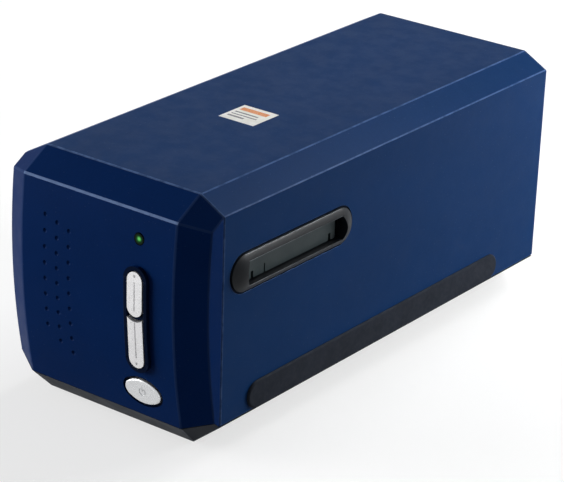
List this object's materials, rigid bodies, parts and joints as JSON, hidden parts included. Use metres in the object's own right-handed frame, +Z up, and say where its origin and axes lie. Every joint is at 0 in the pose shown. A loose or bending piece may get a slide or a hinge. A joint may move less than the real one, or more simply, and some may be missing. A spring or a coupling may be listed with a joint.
{
  "type": "film scanner",
  "caption": "Desktop scanner for film strips and slides: faceted box with a bowed front, buttons, and flapped side slots for a holder over a sliding scan carriage.",
  "frame": {"origin": "centre of the bounding box's underside, on the surface the feet stand on", "axes": "+X to the right seen from the front, -Y to the front with the buttons, +Z up"},
  "size_m": [0.1226, 0.2719, 0.119],
  "materials": {
    "cover_blue": "satin, fine grain",
    "bezel_blue": "satin, fine grain",
    "base_grey": "fine texture",
    "panel_black": "fine texture",
    "trim_grey": "satin",
    "flap_grey": "matt",
    "strip_rubber": "matt",
    "foot_rubber": "matt",
    "label_stock": "matt",
    "light_pipe": "clear green",
    "button_silver": "silver, fine grain",
    "power_grey": "satin grey",
    "board_green": "solder mask",
    "inner_black": "matt",
    "spring_steel": "drawn wire",
    "rod_steel": "ground",
    "sheet_steel": "zinc plated",
    "screw_steel": "zinc plated",
    "mirror_glass": "front silvered",
    "barrel_black": "black anodised",
    "lamp_white": "matt",
    "diffuser": "frosted",
    "bronze": "sintered",
    "belt_rubber": "matt",
    "gear_ivory": "moulded",
    "pinion_brass": "machined",
    "ribbon_film": "flat cable",
    "lever_acetal": "moulded"
  },
  "bodies": {
    "housing": {"top_cover": "cover_blue", "front_bezel": "bezel_blue", "base_tray": "base_grey", "rear_panel": "panel_black", "right_slot_trim": "trim_grey", "left_slot_trim": "trim_grey", "flap_hinge_pins": "rod_steel", "right_flap_spring": "spring_steel", "left_flap_spring": "spring_steel", "right_side_strip": "strip_rubber", "left_side_strip": "strip_rubber", "rubber_feet": "foot_rubber", "top_sticker": "label_stock", "status_light_pipe": "light_pipe", "button_board": "board_green", "tact_switches": "inner_black", "film_stage": "inner_black", "upper_guide": "inner_black", "detent_spring": "spring_steel", "sensor_ribbon": "ribbon_film", "left_guide_rod": "rod_steel", "right_guide_rod": "rod_steel", "front_rod_bracket": "sheet_steel", "rear_rod_bracket": "sheet_steel", "stepper_motor": "sheet_steel", "gear_axle": "rod_steel", "timing_belt": "belt_rubber", "idler_bracket": "sheet_steel", "motor_bracket": "sheet_steel", "main_board": "board_green", "usb_socket": "sheet_steel", "dc_jack": "inner_black", "home_sensor": "inner_black", "case_screws": "screw_steel", "frame_screws": "screw_steel", "board_screws": "screw_steel"},
    "carriage": {"optical_chamber": "inner_black", "chamber_lid": "inner_black", "fold_mirror": "mirror_glass", "lens_barrel": "barrel_black", "lens_clamp": "sheet_steel", "sensor_board": "board_green", "line_sensor": "inner_black", "lamp_arm": "inner_black", "lamp_housing": "lamp_white", "led_strip": "lamp_white", "lamp_diffuser": "diffuser", "belt_clamp": "inner_black", "rod_bushes": "bronze", "home_flag": "inner_black", "carriage_screws": "screw_steel"},
    "right_flap": {"right_dust_flap": "flap_grey"},
    "left_flap": {"left_dust_flap": "flap_grey"},
    "upper_button": {"upper_scan_button": "button_silver"},
    "lower_button": {"lower_scan_button": "button_silver"},
    "power_key": {"power_button": "power_grey"},
    "detent": {"detent_lever": "lever_acetal"},
    "pinion": {"motor_pinion": "pinion_brass"},
    "reduction": {"reduction_gear": "gear_ivory"},
    "idler": {"idler_pulley": "gear_ivory"}
  },
  "joints": [
    {"name": "carriage_slide", "type": "slide", "parent": "housing", "child": "carriage", "axis": [0, -1, 0], "range_m": [0, 0.038], "deforming": ["sensor_ribbon"]},
    {"name": "reduction_spin", "type": "hinge", "parent": "housing", "child": "reduction", "pos_m": [0.043, 0.0835, 0.02], "axis": [0, 0, 1], "range_deg": [-5, 440]},
    {"name": "idler_spin", "type": "hinge", "parent": "housing", "child": "idler", "pos_m": [0.043, -0.09768, 0.02], "axis": [0, 0, 1], "range_deg": [-5, 440]},
    {"name": "pinion_spin", "type": "hinge", "parent": "housing", "child": "pinion", "pos_m": [0.02988, 0.0835, 0.02], "axis": [0, 0, 1], "range_deg": [-1470, 17]},
    {"name": "right_flap_hinge", "type": "hinge", "parent": "housing", "child": "right_flap", "pos_m": [0.0556, -0.0685, 0.08805], "axis": [0, 1, 0], "range_deg": [0, 85], "stiffness_Nm_per_rad": 0.002, "springref_deg": -22.92, "deforming": ["right_flap_spring"]},
    {"name": "left_flap_hinge", "type": "hinge", "parent": "housing", "child": "left_flap", "pos_m": [-0.0556, -0.0685, 0.08805], "axis": [0, -1, 0], "range_deg": [0, 85], "stiffness_Nm_per_rad": 0.002, "springref_deg": -22.92, "deforming": ["left_flap_spring"]},
    {"name": "upper_button_push", "type": "slide", "parent": "housing", "child": "upper_button", "axis": [0, 1, 0], "range_m": [0, 0.0006], "stiffness_N_per_m": 400, "springref_m": -0.0005},
    {"name": "lower_button_push", "type": "slide", "parent": "housing", "child": "lower_button", "axis": [0, 1, 0], "range_m": [0, 0.0006], "stiffness_N_per_m": 400, "springref_m": -0.0005},
    {"name": "power_button_push", "type": "slide", "parent": "housing", "child": "power_key", "axis": [0, 1, 0], "range_m": [0, 0.0006], "stiffness_N_per_m": 400, "springref_m": -0.0005},
    {"name": "detent_swing", "type": "hinge", "parent": "housing", "child": "detent", "pos_m": [0.036, -0.027, 0.08], "axis": [0, 0, -1], "range_deg": [0, 8], "stiffness_Nm_per_rad": 0.03, "springref_deg": -5.73, "deforming": ["detent_spring"]}
  ],
  "couplings": [
    {"joint": "reduction_spin", "follows": "carriage_slide", "rad_per_m": 193.26},
    {"joint": "idler_spin", "follows": "carriage_slide", "rad_per_m": 193.26},
    {"joint": "pinion_spin", "follows": "carriage_slide", "rad_per_m": -644.19}
  ]
}
